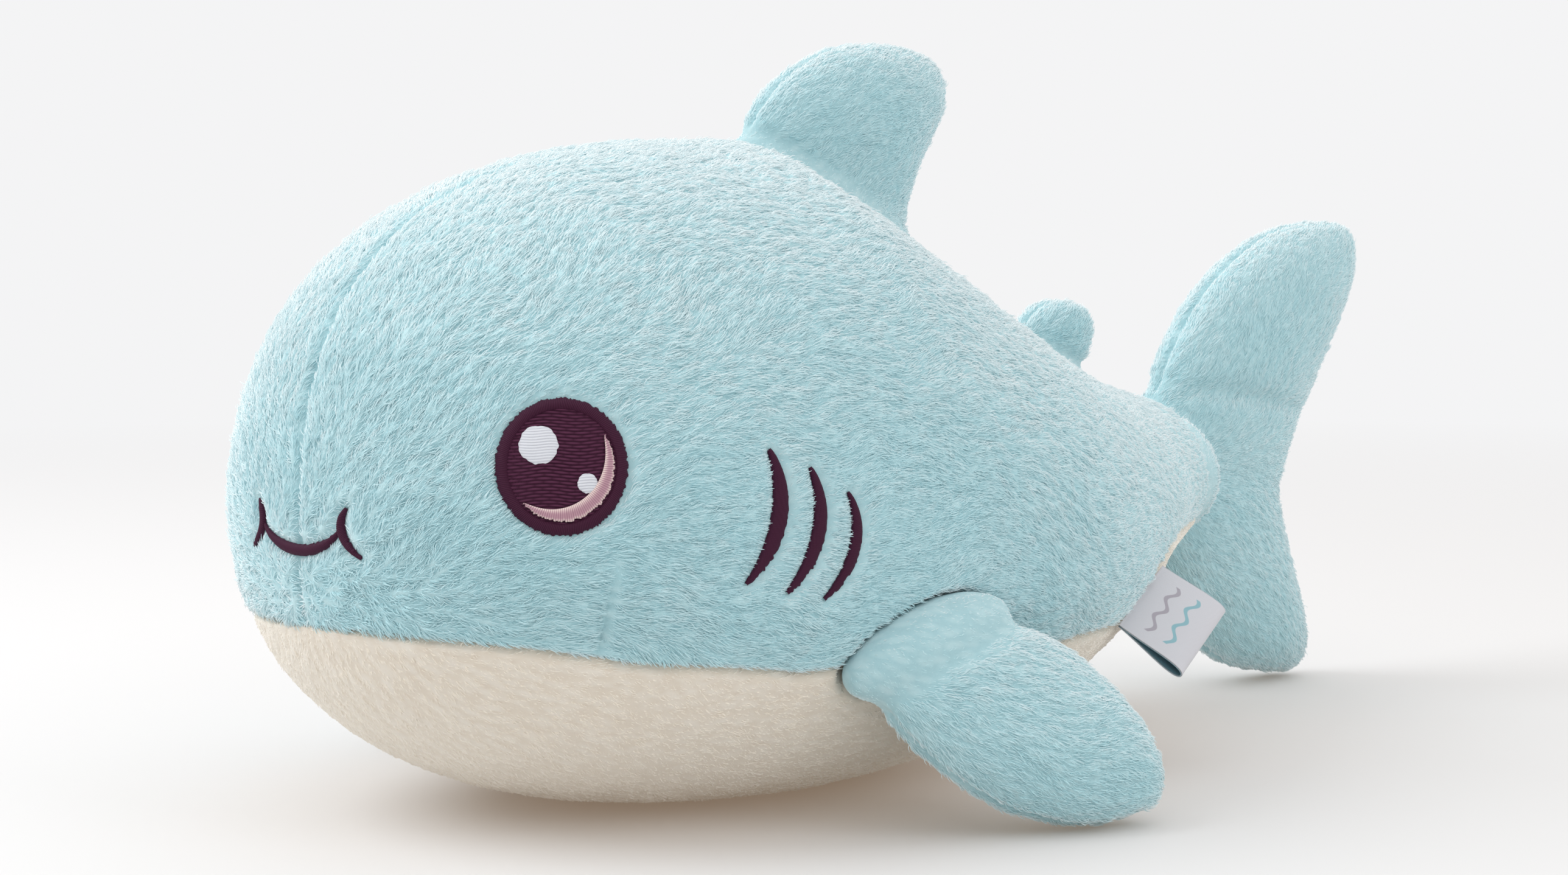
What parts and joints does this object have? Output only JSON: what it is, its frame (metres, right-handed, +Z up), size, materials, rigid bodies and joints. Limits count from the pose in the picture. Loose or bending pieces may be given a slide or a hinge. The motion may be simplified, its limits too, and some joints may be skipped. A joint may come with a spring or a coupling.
{
  "type": "plush shark",
  "caption": "Stuffed plush shark with a rounded body, dorsal fins, pectoral fins, an upright tail fin, embroidered face and a blank ribbon label.",
  "frame": {"origin": "on the floor under the middle of the shark's length and width, at rest on its belly", "axes": "+Z up, -Y towards the nose, +Y towards the tail, +X towards the shark's left side"},
  "size_m": [0.2466, 0.4216, 0.194],
  "materials": {
    "blue_fleece": "short-pile fleece",
    "cream_fleece": "short-pile fleece",
    "plum_embroidery": "satin thread",
    "glint_embroidery": "satin thread",
    "mauve_embroidery": "satin thread",
    "sewing_thread": "matte thread",
    "filling": "loose fibre",
    "backing_fabric": "non-woven",
    "label_ribbon": "woven satin ribbon"
  },
  "bodies": {
    "body": {"left_side_panel": "blue_fleece", "right_side_panel": "blue_fleece", "belly_panel": "cream_fleece", "body_filling": "filling", "back_seam_thread": "sewing_thread", "left_belly_seam_thread": "sewing_thread", "right_belly_seam_thread": "sewing_thread", "left_eye_fill": "plum_embroidery", "left_eye_border": "plum_embroidery", "left_eye_large_glint": "glint_embroidery", "left_eye_small_glint": "glint_embroidery", "left_eye_crescent": "mauve_embroidery", "right_eye_fill": "plum_embroidery", "right_eye_border": "plum_embroidery", "right_eye_large_glint": "glint_embroidery", "right_eye_small_glint": "glint_embroidery", "right_eye_crescent": "mauve_embroidery", "mouth_embroidery": "plum_embroidery", "left_gill_embroidery": "plum_embroidery", "right_gill_embroidery": "plum_embroidery", "left_eye_backing": "backing_fabric", "right_eye_backing": "backing_fabric", "mouth_backing": "backing_fabric", "left_gill_backing": "backing_fabric", "right_gill_backing": "backing_fabric"},
    "dorsal_fin": {"dorsal_left_panel": "blue_fleece", "dorsal_right_panel": "blue_fleece", "dorsal_filling": "filling", "dorsal_seam_thread": "sewing_thread"},
    "second_dorsal_fin": {"second_dorsal_left_panel": "blue_fleece", "second_dorsal_right_panel": "blue_fleece", "second_dorsal_filling": "filling", "second_dorsal_seam_thread": "sewing_thread"},
    "tail_fin": {"tail_left_panel": "blue_fleece", "tail_right_panel": "blue_fleece", "tail_filling": "filling", "tail_seam_thread": "sewing_thread"},
    "left_pectoral_fin": {"left_pectoral_upper_panel": "blue_fleece", "left_pectoral_lower_panel": "blue_fleece", "left_pectoral_filling": "filling", "left_pectoral_seam_thread": "sewing_thread"},
    "right_pectoral_fin": {"right_pectoral_upper_panel": "blue_fleece", "right_pectoral_lower_panel": "blue_fleece", "right_pectoral_filling": "filling", "right_pectoral_seam_thread": "sewing_thread"},
    "label": {"ribbon_label": "label_ribbon"}
  },
  "joints": [
    {"name": "dorsal_flop", "type": "hinge", "parent": "body", "child": "dorsal_fin", "pos_m": [0, -0.0369, 0.146], "axis": [0, 0.8801, -0.4748], "range_deg": [-20, 20], "stiffness_Nm_per_rad": 0.08},
    {"name": "second_dorsal_flop", "type": "hinge", "parent": "body", "child": "second_dorsal_fin", "pos_m": [0, 0.0541, 0.104], "axis": [0, 0.9564, -0.2922], "range_deg": [-20, 20], "stiffness_Nm_per_rad": 0.02},
    {"name": "tail_wag", "type": "hinge", "parent": "body", "child": "tail_fin", "pos_m": [0, 0.0981, 0.06945], "axis": [0, 0, 1], "range_deg": [-22, 22], "stiffness_Nm_per_rad": 0.3},
    {"name": "left_pectoral_flap", "type": "hinge", "parent": "body", "child": "left_pectoral_fin", "pos_m": [0.0898, -0.0949, 0.0445], "axis": [-0.18, -0.94, -0.29], "range_deg": [0, 60], "stiffness_Nm_per_rad": 0.1},
    {"name": "right_pectoral_flap", "type": "hinge", "parent": "body", "child": "right_pectoral_fin", "pos_m": [-0.0898, -0.0949, 0.0445], "axis": [-0.18, 0.94, 0.29], "range_deg": [0, 60], "stiffness_Nm_per_rad": 0.1},
    {"name": "label_flip", "type": "hinge", "parent": "body", "child": "label", "pos_m": [0.06975, 0.0121, 0.04523], "axis": [-0.2502, 0.8866, 0.389], "range_deg": [-25, 25], "stiffness_Nm_per_rad": 0.002}
  ]
}
